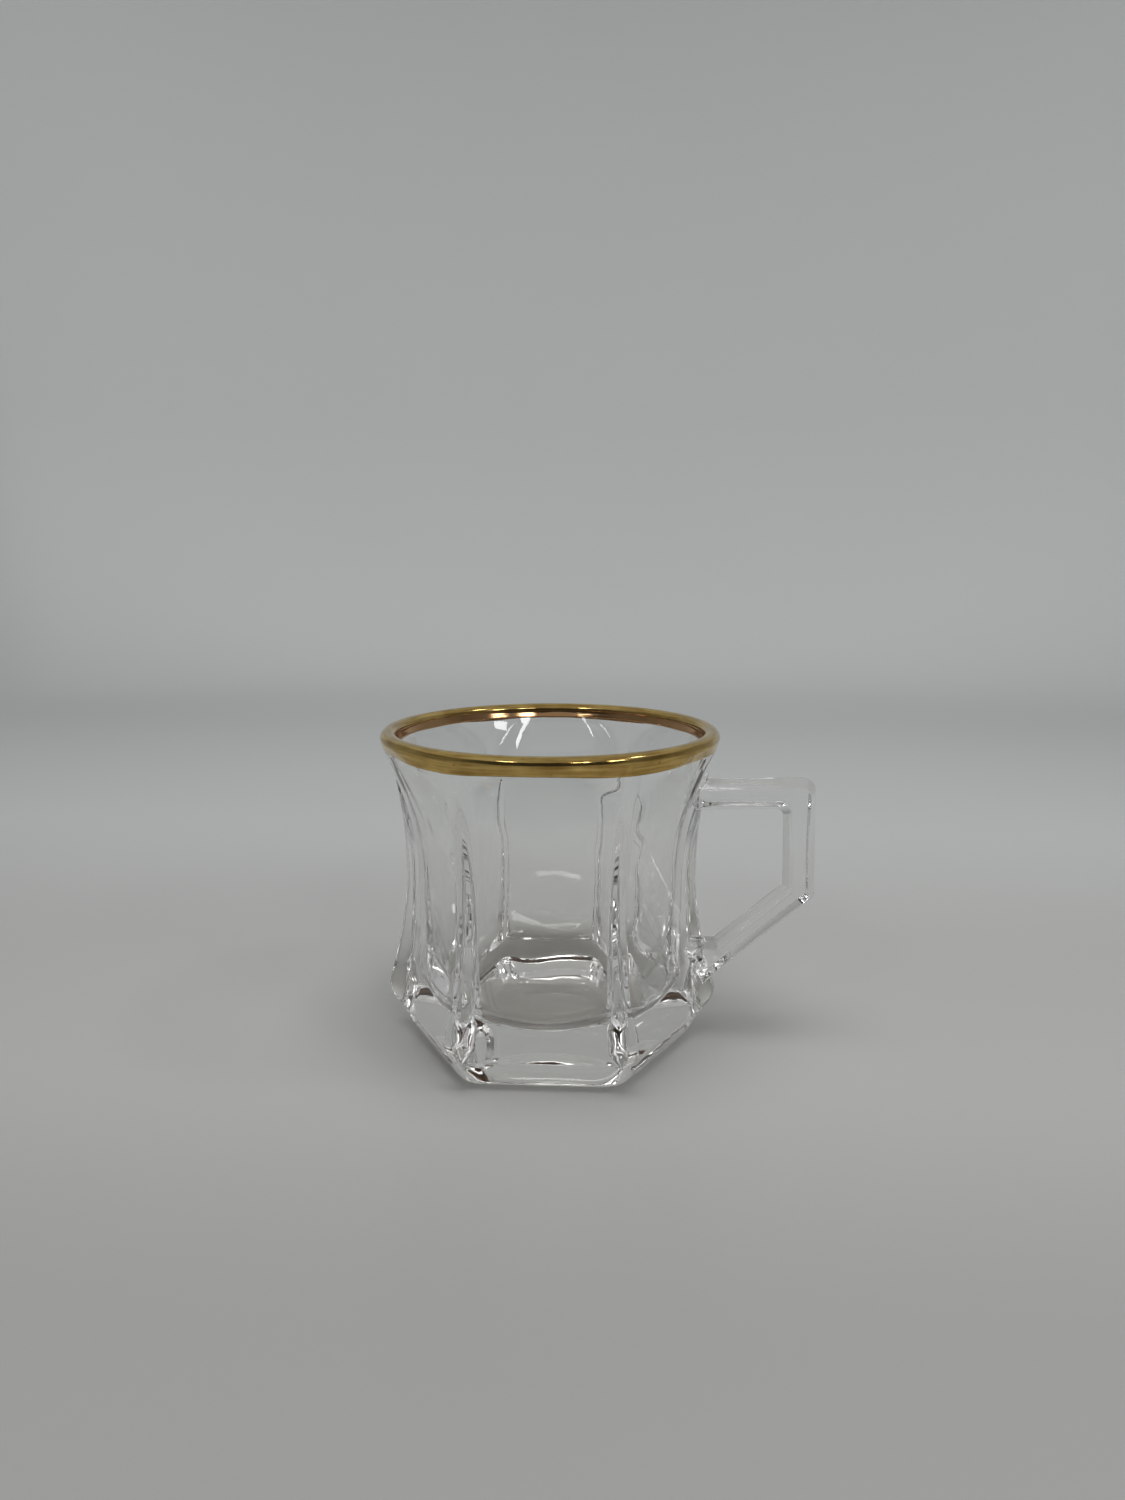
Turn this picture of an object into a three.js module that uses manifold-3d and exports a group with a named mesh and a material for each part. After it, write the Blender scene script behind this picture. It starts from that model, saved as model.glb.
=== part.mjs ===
// A clear pressed-glass mug with a gilded rim: flat panels between ribs that swell into knuckles
// above a short faceted foot, and a solid angular glass handle set on one of the ribs.
// Millimetres, +Z up. The origin is the middle of the underside, and the handle reaches towards +X.

import * as THREE from 'three';
import { mergeVertices } from 'three/addons/utils/BufferGeometryUtils.js';
import Module from 'manifold-3d';

// Rim and overall height
const panelCount = 6;
const mugHeight = 77;
const rimRadius = 40; // outside of the lip
const lipThickness = 3.8; // the lip ends in a half round of this width

// Outside of the bowl; an apothem runs from the axis to the middle of a panel
const waistHeight = 40; // level of the narrowest place
const waistApothem = 29.6;
const ribProud = 1; // how far a rib stands beyond the corner of the panels
const ribHalfWidth = 2;
const ribPower = 4; // section of a rib, from a parabola (2) to a flat top with steep sides
const ribDrop = 0.5; // least fall from a rib's crest to its edge
const ribFillet = 0.5; // rounding where a rib meets a panel
const panelCornerRound = 1; // rounding where a panel runs into a corner arc, up to the waist
const archRound = 4; // the same below the lip, where the panels fade out
const archRise = 22; // height above the waist over which the rounding grows
const archPower = 1.5;
const ribFlarePower = 2.2; // how late the ribs turn out towards the lip
const panelFlarePower = 2.2; // the same for the panels

// Knuckles, skirt edge and foot
const knuckleHeight = 12.5; // level of a knuckle's tip
const knuckleProud = 3.8; // tip beyond the corner of the panels at that level
const knuckleHalfWidth = 3.1;
const beadAbove = 8; // the bead of a knuckle narrows to nothing this far above its tip
const beadBelow = 7.5; // and this far below
const beadBlend = 0.3; // rounding where the bead runs into the rib
const knuckleRisePower = 1.65; // shape of the rib between waist and knuckle
const skirtHeight = 6.5; // level of the edge between panels and foot
const skirtApothem = 32.7;
const skirtCornerCut = 0.3; // corner of the skirt edge taken off, measured on the diagonal
const footApothem = 29.5;
const footCornerCut = 1.1;
const footHalfWidth = 1.2; // half width of the narrow end of a knuckle at the skirt edge
const footEdge = 0.6; // eased edge round the underside

// Inside of the bowl
const wallThickness = 3.2; // panel wall at the waist
const wallThinning = 0.045; // how fast the wall thins upwards from there
const innerCornerCut = 1; // rounded inside corners, measured on the diagonal
const innerCornerRound = 3;
const floorHeight = 6.6; // solid glass under the drink
const floorTaper = 1.2; // the inside narrows by this much from waist to floor
const dishRadius = 31; // the floor is a round dish that would reach this radius
const dishRise = 16; // at this height above its middle
const dishPower = 2.1; // section of the dish, 2 is an ellipse
const dishRound = 2.5; // rounding where the panels run into the dish

// Gold band, set flush in a shallow rebate of the lip
const bandThickness = 0.4;
const bandGap = 0.2; // clearance between band and glass
const bandOuterReach = 2.6; // below the lip's half round, outside
const bandInnerReach = 0.6; // below the lip's half round, inside

// Handle
const handleDepth = 8.2; // across the mug
const barThickness = 7.7; // in the middle plane, where the bar is widest
const faceInset = 2; // from there each edge draws in by this much to the flat front and back
const ridgeWidth = 0.8; // flat left along the middle plane
const armDrop = 12.5; // top of the arm below the lip, at the bowl
const armRise = 0.6; // the arm rises this much towards the grip
const fingerGap = 20.45; // from the rib at the waist to the grip
const gripLean = 0.45; // the grip leans out this much towards the elbow
const elbowHeight = 39; // inside corner of grip and strut
const strutFootHeight = 23.1; // where the strut's top line meets the rib
const webReach = 2.4; // the strut's top runs level this far out from the rib
const outerRound = 3.4; // outside corner of arm and grip
const elbowRound = 1.6; // outside corner of grip and strut
const gapRound = 1.5; // corners of the finger gap
const handleEmbed = 6; // length that is trimmed off to fit the rib
const handleGap = 0.3; // clearance between handle and rib

// Fineness of the surfaces
const columnSteps = [0, 0.045, 0.08, 0.11, 0.155, 0.25, 0.45, 0.7, 1]; // shares of half a panel, from its rib
const lipSteps = 6;
const dishSteps = 8;
const insetShare = 0.45; // most of the bar's thickness that an inset may take

// Levels and radii that follow from the sizes above
const halfSector = Math.PI / panelCount;
const lipRound = lipThickness / 2;
const lipHeight = mugHeight - lipRound;
const lipCentre = rimRadius - lipRound;
const lipInnerRadius = rimRadius - lipThickness;
const collarHeight = lipHeight - bandOuterReach;
const innerCollarHeight = lipHeight - bandInnerReach;
const rebate = bandThickness + bandGap;
const cornerOf = (apothem) => apothem / Math.cos(halfSector);
const waistRib = cornerOf(waistApothem) + ribProud;
const skirtCorner = cornerOf(skirtApothem) - skirtCornerCut;
const footCorner = cornerOf(footApothem) - footCornerCut;
const dishTop = floorHeight + dishRise;
const { lerp: mix, clamp } = THREE.MathUtils;

// Larger or smaller of two values, with the crease between them rounded over the width given
function softMax(a, b, width) {
  const overlap = Math.max(width - Math.abs(a - b), 0);
  return Math.max(a, b) + (width > 0 ? overlap ** 2 / (4 * width) : 0);
}

function softMin(a, b, width) {
  return -softMax(-a, -b, width);
}

// Apothem of the panels outside, between skirt edge and lip
function panelApothem(z) {
  if (z >= waistHeight) {
    const rise = (z - waistHeight) / (lipHeight - waistHeight);
    return mix(waistApothem, rimRadius, rise ** panelFlarePower);
  }
  const fall = (waistHeight - z) / (waistHeight - skirtHeight);
  return mix(waistApothem, skirtApothem, fall ** 2);
}

// Half width of a rib at a level: a bead round the knuckle's tip, a narrow rib above, a narrower one below
function ribWidthAt(z) {
  const above = z > knuckleHeight;
  const away = (z - knuckleHeight) / (above ? beadAbove : beadBelow);
  return softMax(knuckleHalfWidth * (1 - away ** 2), above ? ribHalfWidth : footHalfWidth, beadBlend);
}

// Radius of a rib's crest, apothem of the panels and half width of the rib at a level
function outsideAt(z) {
  const halfWidth = ribWidthAt(z);
  if (z <= skirtHeight) {
    const rise = z / skirtHeight;
    const crest = mix(footCorner, skirtCorner, rise);
    return { crest, apothem: mix(footApothem, skirtApothem, rise), halfWidth };
  }
  const apothem = panelApothem(z);
  if (z >= waistHeight) {
    const rise = (z - waistHeight) / (lipHeight - waistHeight);
    return { crest: mix(waistRib, rimRadius, rise ** ribFlarePower), apothem, halfWidth };
  }
  const knuckleTip = cornerOf(panelApothem(knuckleHeight)) + knuckleProud;
  if (z >= knuckleHeight) {
    const fall = (waistHeight - z) / (waistHeight - knuckleHeight);
    return { crest: mix(waistRib, knuckleTip, fall ** knuckleRisePower), apothem, halfWidth };
  }
  const fall = (knuckleHeight - z) / (knuckleHeight - skirtHeight);
  return { crest: mix(knuckleTip, skirtCorner, fall ** 2), apothem, halfWidth };
}

// Rounding of a panel's edge: crisp up to the waist, softer towards the lip
function edgeRounding(z, crisp) {
  return mix(crisp, archRound, clamp((z - waistHeight) / archRise, 0, 1) ** archPower);
}

// A circle with flats: the corners keep the radius, the panels keep the apothem
function flattedCircle(radius, apothem, fromPanel, round) {
  return softMin(radius, apothem / Math.cos(fromPanel), Math.min(round, radius - apothem));
}

// Angle from the middle of the nearest panel; ribs stand at 0 and every whole sector
function angleFromPanel(turn) {
  const sector = 2 * halfSector;
  return Math.abs(turn - Math.floor(turn / sector) * sector - halfSector);
}

function outsideRadius(z, turn) {
  const { crest, apothem, halfWidth } = outsideAt(z);
  const fromPanel = angleFromPanel(turn);
  const round = edgeRounding(z, panelCornerRound);
  const panel = flattedCircle(crest, apothem, fromPanel, round);
  const aside = crest * Math.sin(halfSector - fromPanel);
  const ribEdge = flattedCircle(crest, apothem, halfSector - Math.asin(halfWidth / crest), round);
  const rib = crest - Math.max(crest - ribEdge, ribDrop) * (aside / halfWidth) ** ribPower;
  return softMax(panel, rib, Math.min(ribFillet, crest - apothem));
}

// The inside follows the outside: round at the lip, then panels with rounded corners, then a round dish
function insideRadius(z, turn) {
  const waistInner = waistApothem - wallThickness;
  const waistCorner = cornerOf(waistInner) - innerCornerCut;
  const rise = clamp(z - waistHeight, 0, lipHeight - waistHeight);
  const up = rise / (lipHeight - waistHeight);
  const taper = floorTaper * Math.max((waistHeight - z) / (waistHeight - floorHeight), 0);
  const change = wallThinning * rise * (1 - up) - taper;
  const radius = mix(waistCorner, lipInnerRadius, up ** ribFlarePower) + change;
  const apothem = mix(waistInner, lipInnerRadius, up ** panelFlarePower) + change;
  const panels = flattedCircle(radius, apothem, angleFromPanel(turn), edgeRounding(z, innerCornerRound));
  if (z >= dishTop) {
    return panels;
  }
  const share = (z - floorHeight) / dishRise;
  const dish = dishRadius * (1 - (1 - share) ** dishPower) ** (1 / dishPower);
  return softMin(panels, dish, Math.min(dishRound, dish));
}

// Angles of the columns of points, close together on the ribs
function columnAngles() {
  const angles = [];
  for (let rib = 0; rib < panelCount; rib += 1) {
    const start = 2 * rib * halfSector;
    columnSteps.forEach((step) => angles.push(start + step * halfSector));
    columnSteps.slice(1, -1).reverse().forEach((step) => angles.push(start + (2 - step) * halfSector));
  }
  return angles;
}

const columns = columnAngles();

// A ring of points, one per column, at the level z
const ring = (z, radiusAt) => columns.map((turn) => {
  const radius = radiusAt(turn);
  return new THREE.Vector3(radius * Math.cos(turn), radius * Math.sin(turn), z);
});

const outsideRing = (z, extra = 0) => ring(z, (turn) => outsideRadius(z, turn) + extra);
const insideRing = (z, extra = 0) => ring(z, (turn) => insideRadius(z, turn) + extra);
const pole = (z) => [new THREE.Vector3(0, 0, z)];

// Skins a stack of rings with triangles; a ring of one point is a pole, a loop joins last to first
function skin(rings, loop = false) {
  const starts = [];
  const points = [];
  rings.forEach((each) => {
    starts.push(points.length);
    points.push(...each);
  });
  const faces = [];
  const last = loop ? rings.length : rings.length - 1;
  for (let i = 0; i < last; i += 1) {
    const low = rings[i];
    const high = rings[(i + 1) % rings.length];
    const lowStart = starts[i];
    const highStart = starts[(i + 1) % rings.length];
    for (let j = 0; j < columns.length; j += 1) {
      const k = (j + 1) % columns.length;
      if (low.length > 1) {
        faces.push(lowStart + j, lowStart + k, highStart + (high.length > 1 ? k : 0));
      }
      if (high.length > 1) {
        faces.push(lowStart + (low.length > 1 ? j : 0), highStart + k, highStart + j);
      }
    }
  }
  const geometry = new THREE.BufferGeometry().setFromPoints(points);
  geometry.setIndex(faces);
  return geometry;
}

// Levels at given shares of the way between two heights
const levels = (from, to, shares) => shares.map((share) => mix(from, to, share));

// Rings up the outside, from the underside to the band's lower edge
function outsideRings(extra = 0) {
  const heights = [
    ...levels(footEdge, skirtHeight, [0, 1]),
    ...levels(skirtHeight, knuckleHeight, [0.25, 0.5, 0.75, 1]),
    ...levels(knuckleHeight, waistHeight, [0.1, 0.22, 0.36, 0.52, 0.72, 1]),
    ...levels(waistHeight, collarHeight, [0.35, 0.62, 0.8, 0.92, 1]),
  ];
  return [outsideRing(0, extra - footEdge), ...heights.map((z) => outsideRing(z, extra))];
}

// Half round over the lip, from the outside to the inside
function lipRings(round) {
  return Array.from({ length: lipSteps + 1 }, (_, i) => {
    const angle = (Math.PI * i) / lipSteps;
    return ring(lipHeight + round * Math.sin(angle), () => lipCentre + round * Math.cos(angle));
  });
}

// Bowl: underside, outside, rebated lip, inside and dished floor
function makeBody() {
  const dishHeights = Array.from({ length: dishSteps }, (_, i) => {
    const angle = (Math.PI / 2) * (1 - (i + 0.5) / dishSteps);
    return floorHeight + dishRise * (1 - Math.cos(angle) ** (2 / dishPower));
  });
  const wallHeights = [
    innerCollarHeight,
    ...levels(collarHeight, waistHeight, [0, 0.15, 0.35, 0.62, 1]),
    ...levels(waistHeight, dishTop, [0.5, 1]),
    ...dishHeights,
  ];
  return skin([
    pole(0),
    ...outsideRings(),
    outsideRing(collarHeight, -rebate),
    ...lipRings(lipRound - rebate),
    insideRing(innerCollarHeight, rebate),
    ...wallHeights.map((z) => insideRing(z)),
    pole(floorHeight),
  ]);
}

// Band: a thin closed shell over the lip, flush with the glass below it
function makeBand() {
  const lowerEdge = collarHeight + bandGap;
  const innerEdge = innerCollarHeight + bandGap;
  return skin([
    outsideRing(lowerEdge),
    ...lipRings(lipRound),
    insideRing(innerEdge),
    insideRing(innerEdge, bandThickness),
    ...lipRings(lipRound - bandThickness).reverse(),
    outsideRing(lowerEdge, -bandThickness),
  ], true);
}

// Where two lines cross, each given by a point and a direction
function crossing(a, wayA, b, wayB) {
  return a.clone().addScaledVector(wayA, b.clone().sub(a).cross(wayB) / wayA.cross(wayB));
}

// A point set off to the left of a direction
function leftOf(point, way, distance) {
  return point.clone().addScaledVector(new THREE.Vector2(-way.y, way.x), distance);
}

const wayBetween = (from, to) => to.clone().sub(from).normalize();

// Adds a rounded corner to an outline, between the run into it and the run out of it
function roundedCorner(outline, corner, into, out, round) {
  const start = corner.clone().addScaledVector(into, -round);
  const end = corner.clone().addScaledVector(out, round);
  outline.lineTo(start.x, start.y);
  outline.quadraticCurveTo(corner.x, corner.y, end.x, end.y);
}

// Side view of the handle, in the plane of its rib: down the inside of arm, grip and strut, back outside
function handleOutline() {
  const armTop = mugHeight - armDrop;
  const armStart = new THREE.Vector2(outsideAt(armTop).crest - handleEmbed, armTop - barThickness);
  const corner = new THREE.Vector2(waistRib + fingerGap, armStart.y + armRise);
  const elbow = new THREE.Vector2(corner.x + gripLean, elbowHeight);
  const foot = new THREE.Vector2(outsideAt(strutFootHeight).crest, strutFootHeight);
  const armWay = wayBetween(armStart, corner);
  const gripWay = wayBetween(corner, elbow);
  const strutWay = wayBetween(elbow, foot);
  const webStart = foot.clone().addScaledVector(strutWay, webReach / strutWay.x);
  const armOuter = leftOf(armStart, armWay, barThickness);
  const gripOuter = leftOf(corner, gripWay, barThickness);
  const strutEnd = leftOf(foot.clone().addScaledVector(strutWay, handleEmbed), strutWay, barThickness);
  const outerCorner = crossing(armOuter, armWay, gripOuter, gripWay);
  const outerElbow = crossing(gripOuter, gripWay, strutEnd, strutWay);
  const outline = new THREE.Shape();
  outline.moveTo(armStart.x, armStart.y);
  roundedCorner(outline, corner, armWay, gripWay, gapRound);
  roundedCorner(outline, elbow, gripWay, strutWay, gapRound);
  outline.lineTo(webStart.x, webStart.y);
  outline.lineTo(foot.x - handleEmbed, webStart.y);
  outline.lineTo(foot.x - handleEmbed, strutEnd.y);
  outline.lineTo(strutEnd.x, strutEnd.y);
  roundedCorner(outline, outerElbow, strutWay.clone().negate(), gripWay.clone().negate(), elbowRound);
  roundedCorner(outline, outerCorner, gripWay.clone().negate(), armWay.clone().negate(), outerRound);
  outline.lineTo(armOuter.x, armOuter.y);
  outline.closePath();
  return outline;
}

const wasm = await Module();
wasm.setup();

// Closed geometry to a solid, and back
function toSolid(geometry) {
  const bare = geometry.clone();
  bare.deleteAttribute('normal');
  bare.deleteAttribute('uv');
  const merged = mergeVertices(bare, 1e-4);
  return new wasm.Manifold(new wasm.Mesh({
    numProp: 3,
    vertProperties: new Float32Array(merged.attributes.position.array),
    triVerts: new Uint32Array(merged.index.array),
  }));
}

function toGeometry(solid) {
  const mesh = solid.getMesh();
  const geometry = new THREE.BufferGeometry();
  geometry.setAttribute('position', new THREE.BufferAttribute(mesh.vertProperties, 3));
  geometry.setIndex(new THREE.BufferAttribute(mesh.triVerts, 1));
  return geometry;
}

// Handle: a bar of six-sided section along the side view, trimmed to the bowl with a small clearance
function makeHandle() {
  const inset = Math.min(faceInset, insetShare * barThickness);
  const bar = new THREE.ExtrudeGeometry(handleOutline(), {
    depth: ridgeWidth,
    bevelThickness: (handleDepth - ridgeWidth) / 2,
    bevelSize: inset,
    bevelOffset: -inset,
    bevelSegments: 1,
    curveSegments: 6,
  });
  bar.translate(0, 0, -ridgeWidth / 2);
  bar.rotateX(Math.PI / 2);
  const bowl = skin([pole(0), ...outsideRings(handleGap), pole(collarHeight)]);
  return toGeometry(toSolid(bar).subtract(toSolid(bowl)));
}

// Materials of the pieces
const glass = { color: 0xe6ecec, roughness: 0.04, metalness: 0, transparent: true, opacity: 0.35 };
const gold = { color: 0xb5852c, roughness: 0.2, metalness: 1 };

function piece(name, geometry, finish) {
  const mesh = new THREE.Mesh(geometry, new THREE.MeshStandardMaterial(finish));
  mesh.name = name;
  mesh.geometry.computeVertexNormals();
  return mesh;
}

const mug = new THREE.Group();
mug.name = 'mug';
mug.add(piece('glass_body', makeBody(), glass));
mug.add(piece('glass_handle', makeHandle(), glass));
mug.add(piece('gold_rim', makeBand(), gold));

export default mug;
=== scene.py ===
import math

import bpy
import numpy as np
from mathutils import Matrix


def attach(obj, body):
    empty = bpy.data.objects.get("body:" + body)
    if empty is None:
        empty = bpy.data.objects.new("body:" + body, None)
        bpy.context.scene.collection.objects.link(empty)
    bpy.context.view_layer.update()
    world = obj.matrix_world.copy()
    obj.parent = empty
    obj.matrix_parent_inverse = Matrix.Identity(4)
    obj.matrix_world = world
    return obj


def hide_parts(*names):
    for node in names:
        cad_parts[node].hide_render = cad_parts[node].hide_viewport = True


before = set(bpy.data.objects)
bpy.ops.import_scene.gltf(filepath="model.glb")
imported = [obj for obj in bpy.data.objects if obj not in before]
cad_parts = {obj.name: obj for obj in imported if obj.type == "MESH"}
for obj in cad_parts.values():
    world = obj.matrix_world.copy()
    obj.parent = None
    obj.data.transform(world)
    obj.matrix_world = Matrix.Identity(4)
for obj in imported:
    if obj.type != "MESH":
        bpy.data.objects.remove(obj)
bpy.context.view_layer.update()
print("frame:", ", ".join(sorted(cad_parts)))

mm = 0.001  # sizes below are in millimetres, meshes in metres
tiny = 1e-9
scene = bpy.context.scene


# Shader maths: a wire holds a socket, and arithmetic on wires adds Math nodes
class Wire:
    def __init__(self, tree, socket=None):
        self.tree = tree
        self.socket = socket

    # any node: its type, its settings, then the values or wires of its sockets; gives the wire of one output
    def node(self, kind, settings=None, sockets=None, output=0):
        made = self.tree.nodes.new(kind)
        for key, value in (settings or {}).items():
            setattr(made, key, value)
        for key, value in (sockets or {}).items():
            if isinstance(value, Wire):
                self.tree.links.new(value.socket, made.inputs[key])
            else:
                made.inputs[key].default_value = value
        return Wire(self.tree, made.outputs[output] if made.outputs else None)

    # another output of the same node
    def output(self, name):
        return Wire(self.tree, self.socket.node.outputs[name])

    def math(self, operation, a, b=0.0):
        return self.node("ShaderNodeMath", {"operation": operation}, {0: a, 1: b})

    def clamp(self):
        return self.node("ShaderNodeMath", {"operation": "ADD", "use_clamp": True}, {0: self, 1: 0.0})

    # colour that runs from low to high as this wire runs from 0 to 1
    def blend(self, low, high):
        colours = {0: self, 6: self.colour(low), 7: self.colour(high)}
        return self.node("ShaderNodeMix", {"data_type": "RGBA"}, colours, 2)

    def colour(self, value):
        return value if isinstance(value, Wire) else (*value, 1)

    def __add__(self, other):
        return self.math("ADD", self, other)

    def __radd__(self, other):
        return self.math("ADD", other, self)

    def __sub__(self, other):
        return self.math("SUBTRACT", self, other)

    def __rsub__(self, other):
        return self.math("SUBTRACT", other, self)

    def __mul__(self, other):
        return self.math("MULTIPLY", self, other)

    def __truediv__(self, other):
        return self.math("DIVIDE", self, other)


# An empty material and a wire to build it with
def newMaterial(name):
    material = bpy.data.materials.new(name)
    material.use_nodes = True
    material.node_tree.nodes.clear()
    return material, Wire(material.node_tree)


# Noise over a place, with lumps of about the size given
def noiseAt(place, size, detail=2.0, rough=0.5, distort=0.0):
    return place.node("ShaderNodeTexNoise", {}, {
        "Vector": place, "Scale": 1 / (size * mm), "Detail": detail, "Roughness": rough,
        "Distortion": distort})


# Where a value passes from low to high, 0 to 1
def stepBetween(wire, low, high):
    values = {"Value": wire, "From Min": low, "From Max": high}
    return wire.node("ShaderNodeMapRange", {"interpolation_type": "SMOOTHSTEP"}, values)


# Mesh making: points of a grid, joined by quads
def gridQuads(rows, columns, loopRows=False):
    # quad i,j joins points (i,j) (i,j+1) (i+1,j+1) (i+1,j); columns always close on themselves
    i = np.arange(rows if loopRows else rows - 1)[:, None]
    j = np.arange(columns)[None, :]
    below = i * columns
    above = ((i + 1) % rows) * columns
    after = (j + 1) % columns
    corners = np.broadcast_arrays(below + j, below + after, above + after, above + j)
    return np.stack(corners, -1).reshape(-1, 4)


def fan(start, columns, tip, outward):
    # triangles from the ring that begins at start to a single tip point
    j = np.arange(columns)
    after = (j + 1) % columns
    first, second = (after, j) if outward else (j, after)
    return np.stack([start + first, start + second, np.full(columns, tip)], -1)


# Points in millimetres and groups of faces, shaded smooth
def fillMesh(mesh, points, faces):
    mesh.from_pydata((points * mm).tolist(), [], [face for group in faces for face in group.tolist()])
    mesh.polygons.foreach_set("use_smooth", np.ones(len(mesh.polygons), bool))


def makePiece(name, points, faces, node, materials, faceMaterial=None, attributes=None):
    mesh = bpy.data.meshes.new(name)
    fillMesh(mesh, points, faces)
    for material in materials:
        mesh.materials.append(material)
    if faceMaterial is not None:
        mesh.polygons.foreach_set("material_index", faceMaterial.astype(np.int32))
    for key, values in (attributes or {}).items():
        mesh.attributes.new(key, "FLOAT", "POINT").data.foreach_set("value", values.astype(np.float32))
    mesh.validate()
    mesh.update()
    piece = bpy.data.objects.new(name, mesh)
    scene.collection.objects.link(piece)
    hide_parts(node)
    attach(piece, "root")
    print(f"{name}: {len(points)} points, {len(mesh.polygons)} faces")
    return piece


def mix(a, b, share):
    return a + (b - a) * share


# Larger of two values; within width of each other, a parabola rounds the crease
def softMax(a, b, width):
    width = np.maximum(width, tiny)
    overlap = np.maximum(width - np.abs(a - b), 0)
    return np.maximum(a, b) + overlap ** 2 / (4 * width)


def softMin(a, b, width):
    return -softMax(-a, -b, width)


# Bowl of pressed glass
bowl = {
    "height": 77.0, "rimRadius": 40.0, "lipThickness": 3.8, "lipPower": 2.4,
    "waistHeight": 40.0, "waistApothem": 29.6,
    "ribProud": 1.0, "ribHalfWidth": 2.0, "ribPower": 4.0, "ribDrop": 0.5, "ribFillet": 0.5,
    "ribFlare": 2.2, "panelFlare": 2.2,  # powers: how late ribs and panels turn out to the lip
    "panelCornerRound": 1.0, "archRound": 4.0, "archReach": 22.0, "archPower": 1.5,
    "knuckleHeight": 12.5, "knuckleProud": 3.8, "knuckleHalfWidth": 3.1, "knuckleRise": 1.65,
    "beadAbove": 8.0, "beadBelow": 7.5, "beadBlend": 0.3,  # how far above and below its tip a bead runs out
    "skirtHeight": 6.5, "skirtApothem": 32.7, "skirtCornerCut": 0.3,
    "footApothem": 29.5, "footCornerCut": 1.1, "footHalfWidth": 1.2, "footEdge": 0.6,
    "footBulge": 0.5,  # the foot's flats swell by this much at half height
    "wall": 3.2, "wallThins": 0.045,  # panel wall at the waist, and how fast it thins upwards from there
    "innerCornerCut": 1.0, "innerCornerRound": 3.0,
    "floorHeight": 6.6, "floorTaper": 1.2,
    "dishRadius": 31.0, "dishRise": 16.0, "dishPower": 2.1, "dishRound": 2.5,  # the floor is a round dish
    "ease": 0.5, "easeFade": 3.0,  # edges are eased over this much height, less and less near the lip
    "tuck": 0.03,  # the lip stands this far inside the gold film
    "tuckBand": 0.2, "tuckMargin": 0.5, "innerTuckFrom": 73.0,  # where that begins, outside and inside
    "ripple": 0.08, "rippleTop": 72.0, "rippleFade": 10.0,  # waviness of the inside, as pressed
    "columns": 28, "crowding": 1.5,  # points per half panel, crowded on the ribs
    "edgeReach": 0.7, "kneeHeight": 22.0,  # heights where the rows of points change pace
    "shoulderHeight": 70.0, "innerShoulder": 66.0,
    "undersideRings": (0.3, 0.7, 0.9, 0.985), "lipRows": 25,
}

halfSector = math.pi / 6
lipRound = bowl["lipThickness"] / 2
lipHeight = bowl["height"] - lipRound
lipCentre = bowl["rimRadius"] - lipRound
lipInner = bowl["rimRadius"] - bowl["lipThickness"]


def cornerOf(apothem):
    return apothem / math.cos(halfSector)


# Apothem of the panels: from the waist it grows by a late power to the lip, and by a square to the skirt edge
def panelApothem(z):
    up = np.clip((z - bowl["waistHeight"]) / (lipHeight - bowl["waistHeight"]), 0, 1)
    down = np.clip((bowl["waistHeight"] - z) / (bowl["waistHeight"] - bowl["skirtHeight"]), 0, 1)
    top = mix(bowl["waistApothem"], bowl["rimRadius"], up ** bowl["panelFlare"])
    return np.where(z >= bowl["waistHeight"], top, mix(bowl["waistApothem"], bowl["skirtApothem"], down ** 2))


# Crest of a rib, apothem and half width of the rib by height. The crest runs by a late power from waist to
# lip, by a power from waist to knuckle, by a square from knuckle to skirt, and straight down the foot. The
# foot's flats swell by a parabola. The half width is a parabola about the knuckle, or the plain rib's
def ribAt(z):
    waistRib = cornerOf(bowl["waistApothem"]) + bowl["ribProud"]
    knuckleTip = cornerOf(float(panelApothem(np.array(bowl["knuckleHeight"])))) + bowl["knuckleProud"]
    skirtCorner = cornerOf(bowl["skirtApothem"]) - bowl["skirtCornerCut"]
    footCorner = cornerOf(bowl["footApothem"]) - bowl["footCornerCut"]
    up = np.clip((z - bowl["waistHeight"]) / (lipHeight - bowl["waistHeight"]), 0, 1)
    swell = np.clip((bowl["waistHeight"] - z) / (bowl["waistHeight"] - bowl["knuckleHeight"]), 0, 1)
    drop = np.clip((bowl["knuckleHeight"] - z) / (bowl["knuckleHeight"] - bowl["skirtHeight"]), 0, 1)
    foot = z / bowl["skirtHeight"]
    where = [z >= bowl["waistHeight"], z >= bowl["knuckleHeight"], z >= bowl["skirtHeight"]]
    crest = np.select(where, [
        mix(waistRib, bowl["rimRadius"], up ** bowl["ribFlare"]),
        mix(waistRib, knuckleTip, swell ** bowl["knuckleRise"]),
        mix(knuckleTip, skirtCorner, drop ** 2)], mix(footCorner, skirtCorner, foot))
    swollen = bowl["footBulge"] * 4 * foot * (1 - foot)
    footFlat = mix(bowl["footApothem"], bowl["skirtApothem"], foot) + swollen
    apothem = np.where(z >= bowl["skirtHeight"], panelApothem(z), footFlat)
    beadReach = np.where(z > bowl["knuckleHeight"], bowl["beadAbove"], bowl["beadBelow"])
    bead = bowl["knuckleHalfWidth"] * (1 - ((z - bowl["knuckleHeight"]) / beadReach) ** 2)
    narrow = np.where(z > bowl["knuckleHeight"], bowl["ribHalfWidth"], bowl["footHalfWidth"])
    return crest, apothem, softMax(bead, narrow, bowl["beadBlend"])


def crestAt(height):
    return float(ribAt(np.array(height))[0])


# A circle with flats: the smaller of the corner radius and apothem / cos(angle from the panel's middle)
def flattedCircle(radius, apothem, fromPanel, rounding):
    return softMin(radius, apothem / np.cos(fromPanel), np.minimum(rounding, radius - apothem))


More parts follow.
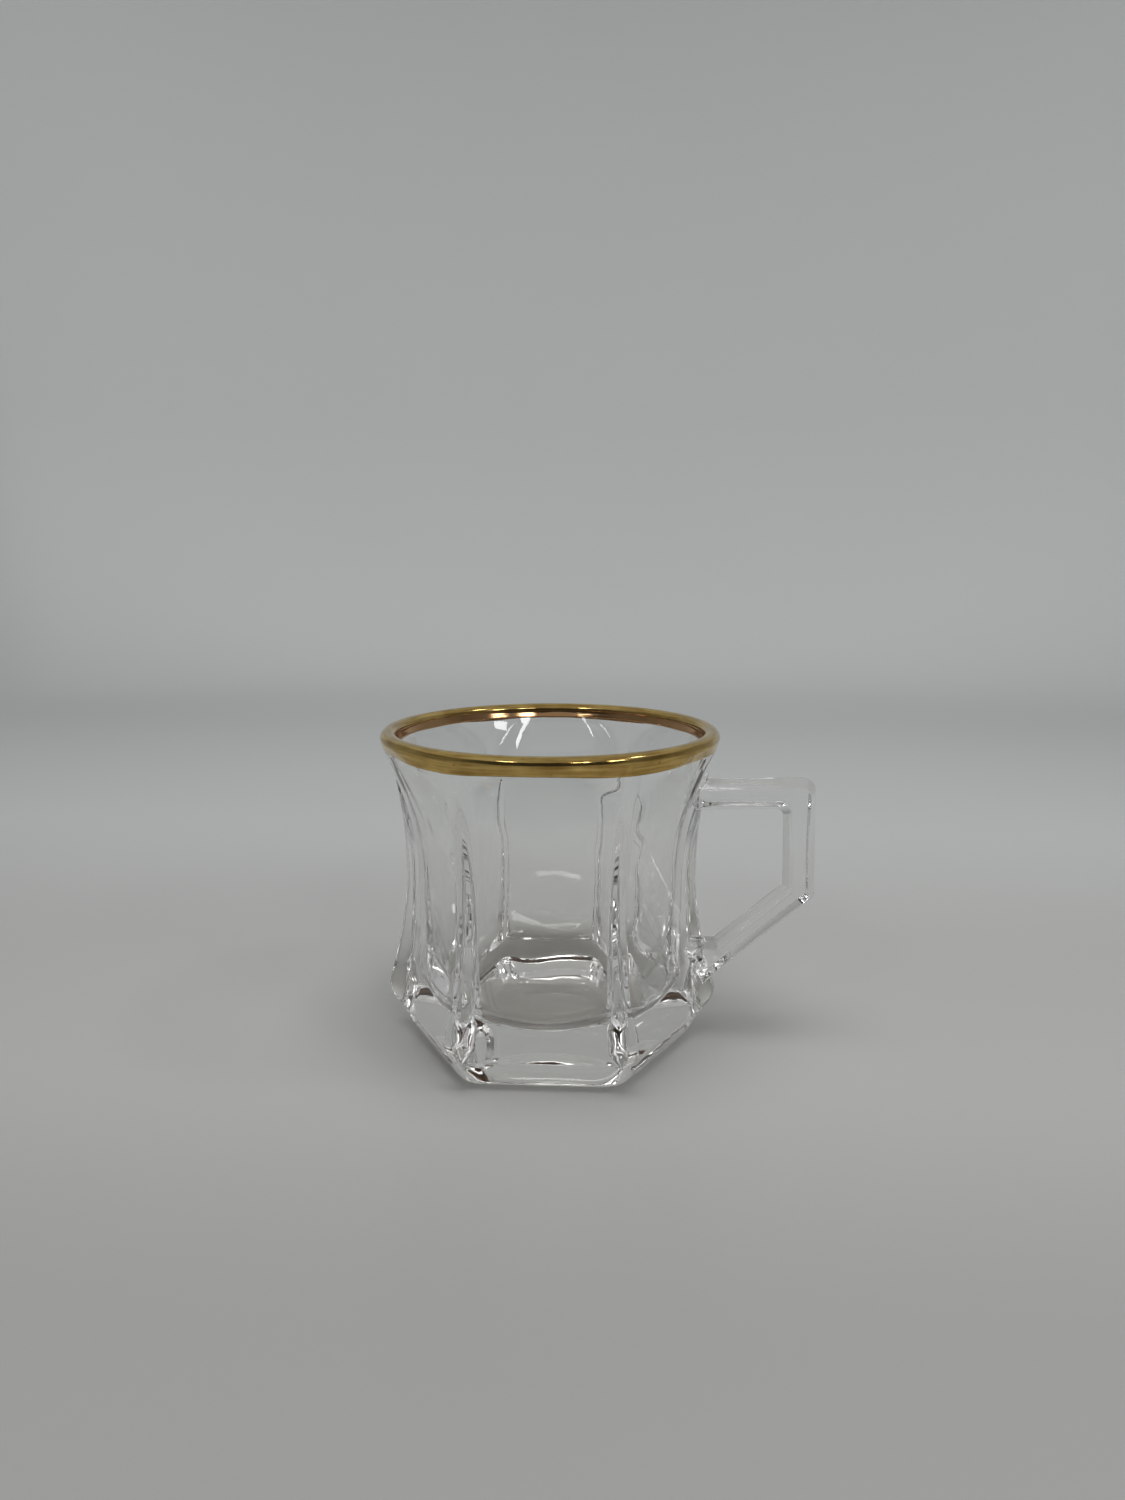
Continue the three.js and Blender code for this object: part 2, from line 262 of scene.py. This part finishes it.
# Rounding of a panel's edge: crisp up to the waist, then ever softer, so the panels fade out below the lip
def archRound(z, crisp):
    up = np.clip((z - bowl["waistHeight"]) / bowl["archReach"], 0, 1)
    return mix(crisp, bowl["archRound"], up ** bowl["archPower"])


def angleFromPanel(turn):
    return np.abs(np.mod(turn, 2 * halfSector) - halfSector)


# Outside at one height and angle: panels with flats, and on each corner a rib that falls off as a power of
# the distance from its crest; the larger of the two, with a fillet between
def sharpOutside(z, turn):
    crest, apothem, halfWidth = ribAt(np.minimum(z, lipHeight))
    fromPanel = angleFromPanel(turn)
    rounding = archRound(z, bowl["panelCornerRound"])
    panel = flattedCircle(crest, apothem, fromPanel, rounding)
    aside = crest * np.sin(halfSector - fromPanel)
    ribEdge = flattedCircle(crest, apothem, halfSector - np.arcsin(halfWidth / crest), rounding)
    fall = np.maximum(crest - ribEdge, bowl["ribDrop"])
    rib = crest - fall * (aside / halfWidth) ** bowl["ribPower"]
    return softMax(panel, rib, np.minimum(bowl["ribFillet"], crest - apothem))


# The same with its level edges eased: the mean of seven heights a little above and below
def outsideRadius(z, turn):
    z = np.asarray(z, float)
    reach = bowl["ease"] * np.clip((lipHeight - z) / bowl["easeFade"], 0, 1)
    shares = np.linspace(-1, 1, 7)
    return sum(sharpOutside(z + reach * share, turn) for share in shares) / len(shares)


# Waviness of the inside: three sines of angle and height, fading out below the lip
def insideWave(z, turn):
    fade = np.clip((bowl["rippleTop"] - z) / bowl["rippleFade"], 0, 1)
    slant = 0.45 * np.sin(9 * turn + z / 5.2) + 0.3 * np.sin(11 * turn - z / 3.6 + 1.3)
    return bowl["ripple"] * fade * (slant + 0.35 * np.sin(z / 2.7 + 2 * np.sin(4 * turn)))


# Inside: round at the lip, flats with rounded corners below. Above the waist it keeps a wall that thins by a
# slope and thickens again to the lip; below the waist it is drawn in evenly to the floor. The waviness is
# added, and low down the smaller of this and a dish holds, whose radius is a superellipse of the height:
# radius * (1 - (1 - share) ^ power) ^ (1 / power)
def insideRadius(z, turn):
    z = np.asarray(z, float)
    rise = np.clip(z - bowl["waistHeight"], 0, lipHeight - bowl["waistHeight"])
    up = rise / (lipHeight - bowl["waistHeight"])
    waistInner = bowl["waistApothem"] - bowl["wall"]
    waistCorner = cornerOf(waistInner) - bowl["innerCornerCut"]
    down = np.clip((bowl["waistHeight"] - z) / (bowl["waistHeight"] - bowl["floorHeight"]), 0, 1)
    taper = bowl["floorTaper"] * down
    thin = bowl["wallThins"] * rise * (1 - up)
    radius = mix(waistCorner, lipInner, up ** bowl["ribFlare"]) + thin - taper
    apothem = mix(waistInner, lipInner, up ** bowl["panelFlare"]) + thin - taper
    share = np.clip((z - bowl["floorHeight"]) / bowl["dishRise"], 0, 1)
    dish = bowl["dishRadius"] * (1 - (1 - share) ** bowl["dishPower"]) ** (1 / bowl["dishPower"])
    rounding = archRound(z, bowl["innerCornerRound"])
    panels = flattedCircle(radius, apothem, angleFromPanel(turn), rounding) + insideWave(z, turn)
    return np.where(share < 1, softMin(panels, dish, np.minimum(bowl["dishRound"], dish)), panels)


# Angles of the columns: shares of half a panel raised to the crowding power, mirrored about its middle
def columnTurns():
    half = (np.arange(bowl["columns"]) / bowl["columns"]) ** bowl["crowding"]
    other = (np.arange(bowl["columns"], 0, -1) / bowl["columns"]) ** bowl["crowding"]
    sector = np.concatenate([half, 2 - other]) * halfSector
    return (np.arange(6)[:, None] * 2 * halfSector + sector[None, :]).ravel()


def rings(z, radius, turn):
    # point = (radius cos turn, radius sin turn, z)
    z, radius, turn = np.broadcast_arrays(z, radius, turn)
    return np.stack([radius * np.cos(turn), radius * np.sin(turn), z], -1)


# Over the lip: half a superellipse, out from its middle line by cos and up by sin, each raised to 2 / power
def lipRings(half, steps, turn):
    over = np.radians(np.linspace(0, 180, steps))[1:-1, None]
    out = np.sign(np.cos(over)) * np.abs(np.cos(over)) ** (2 / bowl["lipPower"])
    up = np.sin(over) ** (2 / bowl["lipPower"])
    return rings(lipHeight + half * up, lipCentre + half * out, turn)


# Rows of the bowl, from the middle of the underside up the outside, over the lip and down to the floor
def bowlRows(turn):
    edge = np.radians(np.linspace(0, 90, 7))[:, None]
    edgeZ = bowl["footEdge"] * (1 - np.cos(edge))
    footRing = outsideRadius(edgeZ, turn) - bowl["footEdge"] * (1 - np.sin(edge))
    underside = np.array(bowl["undersideRings"])[:, None]
    skirt, waist, near = bowl["skirtHeight"], bowl["waistHeight"], bowl["edgeReach"]
    outerZ = np.concatenate([
        np.linspace(bowl["footEdge"], skirt - near - 0.1, 7)[1:],
        np.linspace(skirt - near, skirt + near, 13),
        np.linspace(skirt + near + 0.2, bowl["kneeHeight"], 42),
        np.linspace(bowl["kneeHeight"], waist, 20)[1:],
        np.linspace(waist, bowl["shoulderHeight"], 32)[1:],
        np.linspace(bowl["shoulderHeight"], lipHeight, 14)[1:]])[:, None]
    filmFrom = band["lowerEdge"] - band["dip"] - bowl["tuckMargin"]
    inFilm = np.clip((outerZ - filmFrom) / bowl["tuckBand"], 0, 1)
    outer = outsideRadius(outerZ, turn) - bowl["tuck"] * inFilm
    dishTop = bowl["floorHeight"] + bowl["dishRise"]
    down = np.cos(np.radians(np.linspace(84, 3, 28))) ** (2 / bowl["dishPower"])
    innerZ = np.concatenate([
        np.linspace(lipHeight, bowl["innerShoulder"], 14),
        np.linspace(bowl["innerShoulder"], waist, 20)[1:],
        np.linspace(waist, dishTop, 14)[1:],
        bowl["floorHeight"] + bowl["dishRise"] * (1 - down)])[:, None]
    inner = insideRadius(innerZ, turn) + bowl["tuck"] * np.clip(innerZ - bowl["innerTuckFrom"], 0, 1)
    return np.concatenate([
        rings(np.zeros_like(underside), footRing[:1] * underside, turn),
        rings(edgeZ, footRing, turn),
        rings(outerZ, outer, turn),
        lipRings(lipRound - bowl["tuck"], bowl["lipRows"], turn),
        rings(innerZ, inner, turn)])


def makeBowl(materials):
    turn = columnTurns()
    rows = bowlRows(turn[None, :])
    count, columns = rows.shape[:2]
    points = np.concatenate([rows.reshape(-1, 3), [[0, 0, 0], [0, 0, bowl["floorHeight"]]]])
    faces = [
        gridQuads(count, columns),
        fan(0, columns, count * columns, True),
        fan((count - 1) * columns, columns, count * columns + 1, False)]
    return makePiece("mugBowl", points, faces, "glass_body", materials)


# Handle: one solid bar, level arm, upright grip and slanting strut
handle = {
    "thickness": 7.7, "depth": 8.2, "inset": 2.0,  # widest in the middle, drawn in to flat front and back
    "ridgeRound": 0.8, "faceRound": 0.6,
    "armTop": 64.5, "armRise": 0.6,  # the arm rises this much towards the grip
    "gripInner": 55.61, "gripLean": 0.45,  # the grip leans out this much towards the elbow
    "elbowHeight": 39.0, "strutFootHeight": 23.1,
    "webReach": 2.4, "webRound": 1.2, "webMeet": 0.9, "webTurn": 1.5,  # the strut's top runs level to the rib
    "innerRound": 1.6, "outerRound": 3.2, "elbowInner": 1.2, "elbowOuter": 2.4,
    "flare": 0.5, "flareLength": 1.4,  # the bar thickens a little where it meets the rib
    "embed": 6.0, "jointGap": 0.02, "capFrom": 0.25,  # ends are shaped to the rib from this far off it
    "capRings": (1, 0.96, 0.88, 0.72, 0.5, 0.25), "flats": (0.25, 0.5, 0.75),
}


# Arc between two straight runs: a corner point, the unit directions into and out of it, and a radius
def cornerArc(corner, into, out, radius, steps):
    # the arc touches both runs; its points are centre + radius * (cos, sin), turned evenly between them
    into, out = np.array(into, float), np.array(out, float)
    bend = math.atan2(into[0] * out[1] - into[1] * out[0], into @ out)
    setBack = radius * math.tan(abs(bend) / 2)
    start = np.array(corner) - into * setBack
    side = math.copysign(1, bend)
    normal = np.array([-into[1], into[0]]) * side
    centre = start + normal * radius
    angle = np.linspace(0, bend, steps)[:, None]
    arm = -normal
    return centre + radius * (arm * np.cos(angle) + np.array([-arm[1], arm[0]]) * np.sin(angle))


def straight(start, end, steps):
    return mix(np.array(start, float), np.array(end, float), np.linspace(0, 1, steps)[:, None])


def unit(vector):
    return vector / np.linalg.norm(vector)


def leftOf(way):
    return np.array([-way[1], way[0]])


# Where two lines cross, each given by a point and a direction
def crossing(a, wayA, b, wayB):
    # share of the first line: cross product of b - a with the second direction, over that of both directions
    return a + wayA * (leftOf(b - a) @ wayB) / (leftOf(wayA) @ wayB)


# Inner and outer edge lines of the bar in its own plane, station for station
def handleEdges():
    armStart = np.array([crestAt(handle["armTop"]) - handle["embed"], handle["armTop"] - handle["thickness"]])
    inCorner = np.array([handle["gripInner"], armStart[1] + handle["armRise"]])
    elbow = np.array([handle["gripInner"] + handle["gripLean"], handle["elbowHeight"]])
    foot = np.array([crestAt(handle["strutFootHeight"]), handle["strutFootHeight"]])
    armWay = unit(inCorner - armStart)
    gripWay = unit(elbow - inCorner)
    along = unit(foot - elbow)
    armOuter = armStart + leftOf(armWay) * handle["thickness"]
    gripOuter = inCorner + leftOf(gripWay) * handle["thickness"]
    lowerEnd = foot + along * handle["embed"] + leftOf(along) * handle["thickness"]
    webStart = foot + along * (handle["webReach"] / along[0])
    webEnd = np.array([foot[0] - handle["embed"], webStart[1]])
    innerTop = cornerArc(inCorner, armWay, gripWay, handle["innerRound"], 16)
    topCorner = crossing(armOuter, armWay, gripOuter, gripWay)
    outerTop = cornerArc(topCorner, armWay, gripWay, handle["outerRound"], 16)
    innerElbow = cornerArc(elbow, gripWay, along, handle["elbowInner"], 12)
    lowCorner = crossing(gripOuter, gripWay, lowerEnd, along)
    lowElbow = cornerArc(lowCorner, gripWay, along, handle["elbowOuter"], 12)
    webBend = cornerArc(webStart, along, (-1, 0), handle["webRound"], 8)
    lowMeet = lowerEnd - along * (handle["embed"] + handle["webReach"] * handle["webMeet"])
    lowTurn = lowMeet + along * handle["webTurn"]
    inner = [
        straight(armStart, innerTop[0], 18)[:-1], innerTop,
        straight(innerTop[-1], innerElbow[0], 14)[1:-1], innerElbow,
        straight(innerElbow[-1], webBend[0], 16)[1:-1], webBend,
        straight(webBend[-1], webEnd, 8)[1:]]
    outer = [
        straight(armOuter, outerTop[0], 18)[:-1], outerTop,
        straight(outerTop[-1], lowElbow[0], 14)[1:-1], lowElbow,
        straight(lowElbow[-1], lowMeet, 16)[1:-1], straight(lowMeet, lowTurn, 8),
        straight(lowTurn, lowerEnd, 8)[1:]]
    return np.concatenate(inner), np.concatenate(outer)


# Six-sided section with rounded corners: for each point its sign across the bar, its offset from the bar's
# edge on that side, and its place across the mug
def sectionLoop():
    half = handle["thickness"] / 2
    deep = handle["depth"] / 2
    flat = half - handle["inset"]
    corners = np.array([[half, 0], [flat, deep], [-flat, deep], [-half, 0], [-flat, -deep], [flat, -deep]])
    rows = []
    for number, corner in enumerate(corners):
        into = unit(corner - corners[number - 1])
        out = unit(corners[(number + 1) % len(corners)] - corner)
        rounding = handle["faceRound"] if corner[1] else handle["ridgeRound"]
        arc = cornerArc(corner, into, out, rounding, 9)
        side = np.full(len(arc), np.sign(corner[0]))
        rows.append(np.stack([side, arc[:, 0] - side * half, arc[:, 1]], -1))
    rows = np.array(rows)
    after = np.roll(rows[:, 0], -1, axis=0)
    flats = [mix(rows[:, -1], after, share)[:, None] for share in handle["flats"]]
    return np.concatenate([rows, *flats], 1).reshape(-1, 3)


# Bar: at each station the middle of the two edge lines, plus the section between them and across the mug.
# Point = middle + span * (half * sign + offset) + Y * place, both grown a little near the rib
def barPoints(inner, outer, loop, shrink=1.0):
    middle = (inner + outer) / 2
    half = np.linalg.norm(outer - inner, axis=1)[:, None] / 2
    span = (outer - inner) / (2 * half)
    ribFace = outsideRadius(middle[:, 1], np.zeros(len(middle)))
    clear = np.clip(middle[:, 0] - ribFace, 0, None)[:, None]
    grow = handle["flare"] * np.exp(-clear / handle["flareLength"])
    alongSpan = ((half + grow) * loop[None, :, 0] + loop[None, :, 1]) * shrink
    acrossMug = loop[None, :, 2] * (1 + grow / (handle["depth"] / 2))
    x = middle[:, None, 0] + span[:, None, 0] * alongSpan
    z = middle[:, None, 1] + span[:, None, 1] * alongSpan
    return np.stack(np.broadcast_arrays(x, acrossMug * shrink, z), -1)


# How far points stand off the bowl: their distance from the axis less its outside radius
def offBowl(points):
    turn = np.arctan2(points[..., 1], points[..., 0])
    return np.hypot(points[..., 0], points[..., 1]) - outsideRadius(points[..., 2], turn)


# Slides points from free towards buried until they stand the joint gap off the rib, by halving the span
def meetRib(free, buried):
    near = np.zeros(free.shape[:-1])
    far = np.ones(free.shape[:-1])
    for halving in range(28):
        share = (near + far) / 2
        point = mix(free, buried, share[..., None])
        outside = offBowl(point) > handle["jointGap"]
        near = np.where(outside, share, near)
        far = np.where(outside, far, share)
    return mix(free, buried, near[..., None])


def makeHandle(materials):
    inner, outer = handleEdges()
    loop = sectionLoop()
    bar = barPoints(inner, outer, loop)
    clear = (offBowl(bar) > handle["capFrom"]).all(1)
    first, last = np.flatnonzero(clear)[[0, -1]]

    # rings of the end face: one station's section, ever smaller
    def shrunk(row):
        sections = [barPoints(inner[row:row + 1], outer[row:row + 1], loop, s)[0] for s in handle["capRings"]]
        return np.stack(sections)

    armEnd = meetRib(shrunk(first), shrunk(0))
    strutEnd = meetRib(shrunk(last), shrunk(len(bar) - 1))
    rows = np.concatenate([armEnd[::-1], bar[first:last + 1], strutEnd])
    count, columns = rows.shape[:2]
    points = np.concatenate([rows.reshape(-1, 3), rows[:1].mean(1), rows[-1:].mean(1)])
    faces = [
        gridQuads(count, columns)[:, ::-1], fan(0, columns, count * columns, False),
        fan((count - 1) * columns, columns, count * columns + 1, True)]
    return makePiece("mugHandle", points, faces, "glass_handle", materials)


# Fired gold over the lip: a thin closed skin, its face just proud of the glass and its back just inside it
band = {
    "lowerEdge": 72.7, "innerEdge": 73.5, "waver": 0.12, "innerWaver": 0.6,
    "dip": 0.45,  # the lower edge dips at the ribs
    "thickness": 0.08, "outerRows": 12, "lipRows": 35, "innerRows": 5,
}


# Lower edge of the hand-laid band: a level line plus three small waves round the rim
def edgeWaver(turn, phase):
    slow = np.sin(3 * turn + phase) * 0.5 + np.sin(7 * turn + 2.1 * phase) * 0.3
    return band["waver"] * (slow + np.sin(17 * turn + phase) * 0.2)


# Skin of the band at a depth below its face: up the outside, over the lip, a little way down the inside
def bandSkin(turn, depth):
    onRib = (0.5 + 0.5 * np.cos(6 * turn)) ** 2
    low = band["lowerEdge"] + edgeWaver(turn, 0.7) - band["dip"] * onRib
    lowInner = band["innerEdge"] + edgeWaver(turn, 2.9) * band["innerWaver"]
    outerZ = mix(low, lipHeight, np.linspace(0, 1, band["outerRows"])[:, None])
    innerZ = mix(lipHeight, lowInner, np.linspace(0, 1, band["innerRows"])[:, None])
    return np.concatenate([
        rings(outerZ, outsideRadius(outerZ, turn) - depth, turn),
        lipRings(lipRound - depth, band["lipRows"], turn),
        rings(innerZ, insideRadius(innerZ, turn) + depth, turn)])


def makeBand(materials):
    turn = columnTurns()[None, :]
    face = bandSkin(turn, 0.0)
    back = bandSkin(turn, band["thickness"])[::-1]
    rows = np.concatenate([face, back])
    count, columns = rows.shape[:2]
    steps = np.linalg.norm(np.diff(face, axis=0), axis=2)
    across = np.concatenate([np.zeros((1, columns)), np.cumsum(steps, 0)])
    across = np.concatenate([across, across[::-1]]).ravel()
    isBack = np.repeat(np.arange(count) >= len(face), columns)
    return makePiece(
        "goldBand", rows.reshape(-1, 3), [gridQuads(count, columns, True)], "gold_rim", materials,
        isBack, {"across": across})


# Clear pressed glass: almost white, with faint smears and a faint ripple. Low down it is painted darker and
# warmer: painted shade of the shaded table under the base and a painted reflection of the gold
clearGlass = {
    "low": (0.972, 0.971, 0.962), "high": (0.995, 0.996, 0.993), "index": 1.5,
    "baseShadeTint": (0.91, 0.886, 0.855), "baseShadeUnder": (22.0, 8.0),  # painted shade and painted warm reflection in the base, from this height down
    "cloudSize": 22.0, "smear": 0.025, "smearSize": 9.0, "smearFrom": (0.56, 0.78),
    "bump": 0.06, "bumpSize": 6.0, "bumpDepth": 0.4,
}


def glassMaterial():
    material, wire = newMaterial("clearGlass")
    place = wire.node("ShaderNodeTexCoord", {}, {}, "Object")
    cloud = noiseAt(place, clearGlass["cloudSize"])
    thin = cloud.blend(clearGlass["low"], clearGlass["high"])
    height = wire.node("ShaderNodeSeparateXYZ", {}, {"Vector": place}, "Z")
    high, low = (level * mm for level in clearGlass["baseShadeUnder"])
    # painted shade: share of the darker, warmer base tint, full below the lower height
    base = 1 - stepBetween(height, low, high)
    smear = stepBetween(noiseAt(place, clearGlass["smearSize"], 4, 0.6, 0.8), *clearGlass["smearFrom"])
    bump = wire.node("ShaderNodeBump", {}, {
        "Strength": clearGlass["bump"], "Distance": clearGlass["bumpDepth"] * mm,
        "Height": noiseAt(place, clearGlass["bumpSize"], 1)})
    shader = wire.node("ShaderNodeBsdfPrincipled", {}, {
        "Base Color": base.blend(thin, clearGlass["baseShadeTint"]), "Roughness": smear * clearGlass["smear"],
        "IOR": clearGlass["index"], "Transmission Weight": 1.0, "Normal": bump})
    wire.node("ShaderNodeOutputMaterial", {}, {"Surface": shader})
    return material


# Gold: bright face with brush streaks round the rim, painted shade in copper-brown on the inside of the lip,
# and the copper-brown back that shows through the glass
gold = {
    "face": ((0.36, 0.215, 0.06), (0.73, 0.52, 0.18)), "faceRough": (0.06, 0.17),
    "back": ((0.36, 0.19, 0.09), (0.56, 0.34, 0.17)), "backRough": (0.18, 0.36),
    "inside": (0.52, 0.29, 0.16), "insideShadeFrom": (7.9, 9.1), "insideShadeShare": 0.8,  # painted shade on the inside of the lip, from so far across the band
    "streakRound": 90.0, "streakAcross": 1.6, "streakShare": 0.6, "cloudSize": 7.0, "toneFrom": (0.3, 0.7),
    "worn": (0.22, 0.13, 0.04), "wornShare": 0.6, "wornRough": 0.15,
    "speckSize": 0.9, "speckFrom": (0.72, 0.78),
    "bump": 0.12, "bumpDepth": 0.2,
}


def goldMaterial(name, tones, rough):
    material, wire = newMaterial(name)
    place = wire.node("ShaderNodeTexCoord", {}, {}, "Object")
    across = wire.node("ShaderNodeAttribute", {"attribute_name": "across"}, {}, "Fac")
    apart = wire.node("ShaderNodeSeparateXYZ", {}, {"Vector": place})
    lane = wire.node("ShaderNodeCombineXYZ", {}, {
        "X": apart * gold["streakRound"], "Y": apart.output("Y") * gold["streakRound"],
        "Z": across * gold["streakAcross"]})
    streak = wire.node("ShaderNodeTexNoise", {}, {
        "Vector": lane, "Scale": 1.0, "Detail": 3.0, "Roughness": 0.6})
    cloud = noiseAt(place, gold["cloudSize"], 3)
    speck = stepBetween(noiseAt(place, gold["speckSize"], 1), *gold["speckFrom"])
    # painted shade: the inside of the lip is painted copper-brown, standing in for the dark room it mirrors
    inside = stepBetween(across, *gold["insideShadeFrom"]) * gold["insideShadeShare"]
    brushed = stepBetween(streak * gold["streakShare"] + cloud * (1 - gold["streakShare"]), *gold["toneFrom"])
    tone = inside.blend(brushed.blend(*tones), gold["inside"])
    dull = cloud * (rough[1] - rough[0]) + rough[0] + speck * gold["wornRough"]
    bump = wire.node("ShaderNodeBump", {}, {
        "Strength": gold["bump"], "Distance": gold["bumpDepth"] * mm, "Height": streak})
    shader = wire.node("ShaderNodeBsdfPrincipled", {}, {
        "Base Color": (speck * gold["wornShare"]).blend(tone, gold["worn"]), "Metallic": 1.0,
        "Roughness": dull.clamp(), "Normal": bump})
    wire.node("ShaderNodeOutputMaterial", {}, {"Surface": shader})
    return material


glass = glassMaterial()
makeBowl([glass])
makeHandle([glass])
makeBand([
    goldMaterial("goldFace", gold["face"], gold["faceRough"]),
    goldMaterial("goldBack", gold["back"], gold["backRough"])])

# Pale table that curves up into a backdrop all round
cove = {
    "flat": 700.0, "rise": 420.0, "bend": 260.0, "drop": 0.15,
    "floorRings": (40.0, 150.0, 400.0), "columns": 128,
    "table": (1.0, 1.0, 0.975), "wall": (0.975, 1.0, 0.993), "wallFrom": (0.05, 0.25),
    "near": 0.40, "mottle": 0.015, "mottleSize": 120.0,
    "tones": ((0.09, -0.11, -0.02), (0.13, 0.04, 0.22), (0.21, 0.45, 0.85)),  # painted light: paler by so much, from y to y
    "sides": 0.5, "sidesFrom": (0.55, 0.85), "wallsFrom": (0.65, 0.9),  # the sides are dimmer by this share
    "sidesMirrored": 0.4,  # less so in reflections
    "front": 0.8, "frontFrom": (0.45, 0.75),  # the unlit front of the room, in reflections only
    "rough": 0.3, "roughAway": 0.95, "awayFrom": (0.3, 0.65),
}


# Table and wall: painted light and shade: paler tones along y, dim sides, and an unlit front that only
# reflections show
def coveMaterial():
    material, wire = newMaterial("paleTable")
    place = wire.node("ShaderNodeTexCoord", {}, {}, "Object")
    away = wire.node("ShaderNodeVectorMath", {"operation": "LENGTH"}, {0: place}, "Value")
    apart = wire.node("ShaderNodeSeparateXYZ", {}, {"Vector": place})
    along = apart.output("Y")
    shade = cove["near"] + noiseAt(place, cove["mottleSize"]) * cove["mottle"]
    # painted light: the table and wall grow paler along y
    for change, low, high in cove["tones"]:
        shade = shade + stepBetween(along, low, high) * change
    mirrored = wire.node("ShaderNodeLightPath", {}, {}, "Is Glossy Ray")
    toSide = stepBetween(wire.math("ABSOLUTE", apart / away), *cove["sidesFrom"])
    aside = toSide * stepBetween(away, *cove["wallsFrom"]) * cove["sides"]
    unlit = stepBetween(along * -1, *cove["frontFrom"]) * mirrored
    dimSides = 1 - aside * (1 - mirrored * (1 - cove["sidesMirrored"]))
    shade = shade * dimSides * (1 - unlit * cove["front"])
    tint = stepBetween(along, *cove["wallFrom"]).blend(cove["table"], cove["wall"])
    matte = stepBetween(away, *cove["awayFrom"])
    shader = wire.node("ShaderNodeBsdfPrincipled", {}, {
        "Base Color": shade.blend((0, 0, 0), tint),
        "Roughness": matte * (cove["roughAway"] - cove["rough"]) + cove["rough"]})
    wire.node("ShaderNodeOutputMaterial", {}, {"Surface": shader})
    return material


# Cove of revolution: a flat disc, a quarter round at its edge, then an upright wall
def makeCove():
    bend = np.radians(np.linspace(0, 90, 25))[1:]
    flat = [*cove["floorRings"], cove["flat"]]
    edge = cove["flat"] + cove["bend"]
    radius = np.concatenate([flat, cove["flat"] + cove["bend"] * np.sin(bend), [edge]])[:, None]
    curved = cove["bend"] * (1 - np.cos(bend))
    height = np.concatenate([np.zeros(len(flat)), curved, [cove["bend"] + cove["rise"]]])[:, None]
    turn = np.linspace(0, 2 * math.pi, cove["columns"], endpoint=False)[None, :]
    rows = rings(height - cove["drop"], radius, turn)
    count, columns = rows.shape[:2]
    points = np.concatenate([rows.reshape(-1, 3), [[0, 0, -cove["drop"]]]])
    mesh = bpy.data.meshes.new("paleCove")
    fillMesh(mesh, points, [gridQuads(count, columns)[:, ::-1], fan(0, columns, count * columns, False)])
    mesh.materials.append(coveMaterial())
    stage = bpy.data.objects.new("paleCove", mesh)
    scene.collection.objects.link(stage)
    print("cove:", len(mesh.polygons), "faces")


# A softbox overhead and small lamps in front: name, place, aim, width, depth and power
lamps = [
    ("overhead", (0, -160, 1000), (0, -160, 0), 700, 450, 4.9),
    ("lowRight", (578, -508, 468), (0, 0, 70), 150, 60, 0.4),
    ("frontRight", (306, -672, 527), (0, 0, 70), 150, 70, 0.5),
    ("frontLeft", (-325, -623, 593), (0, 0, 70), 120, 60, 0.3),
    ("sideRight", (620, -120, 760), (0, 0, 40), 120, 80, 0.5),
]
room = {"colour": (0.95, 0.97, 0.97, 1), "strength": 0.25, "mirrored": 0.42}  # a paler ceiling in reflections


def makeLamps():
    for name, place, aim, width, depth, power in lamps:
        light = bpy.data.lights.new(name, "AREA")
        light.shape = "RECTANGLE"
        light.size = width * mm
        light.size_y = depth * mm
        light.energy = power
        lamp = bpy.data.objects.new(name, light)
        lamp.location = [c * mm for c in place]
        towards = np.array(aim, float) - np.array(place, float)
        level = math.hypot(towards[0], towards[1])
        lamp.rotation_euler = (math.atan2(level, -towards[2]), 0, math.atan2(-towards[0], towards[1]))
        lamp.visible_glossy = name != "overhead"  # the softbox itself isn't mirrored
        scene.collection.objects.link(lamp)
    world = bpy.data.worlds.new("room")
    world.use_nodes = True
    world.node_tree.nodes.clear()
    wire = Wire(world.node_tree)
    mirrored = wire.node("ShaderNodeLightPath", {}, {}, "Is Glossy Ray")
    strength = mirrored * (room["mirrored"] - room["strength"]) + room["strength"]
    sky = wire.node("ShaderNodeBackground", {}, {"Color": room["colour"], "Strength": strength})
    wire.node("ShaderNodeOutputWorld", {}, {"Surface": sky})
    scene.world = world
    print("lamps:", len(lamps))


makeCove()
makeLamps()

# Camera where the photograph was taken from
view = {
    "focal": 1064.5, "frameHeight": 1500, "sensor": 36.0,  # focal length and frame in the photograph's pixels
    "place": (16.0, -249.4, 118.25), "tilt": 10.665, "turn": 3.0, "clip": 10.0,
}
camera = bpy.data.cameras.new("photoCamera")
camera.sensor_fit = "AUTO"
camera.sensor_width = view["sensor"]
camera.lens = view["focal"] / view["frameHeight"] * view["sensor"]
camera.clip_start = view["clip"] * mm
photoCamera = bpy.data.objects.new("photoCamera", camera)
photoCamera.location = [c * mm for c in view["place"]]
photoCamera.rotation_euler = (math.radians(90 - view["tilt"]), 0, math.radians(view["turn"]))
scene.collection.objects.link(photoCamera)
scene.camera = photoCamera

scene.view_settings.view_transform = "Standard"
scene.cycles.max_bounces = 24
scene.cycles.transmission_bounces = 24
scene.cycles.glossy_bounces = 16
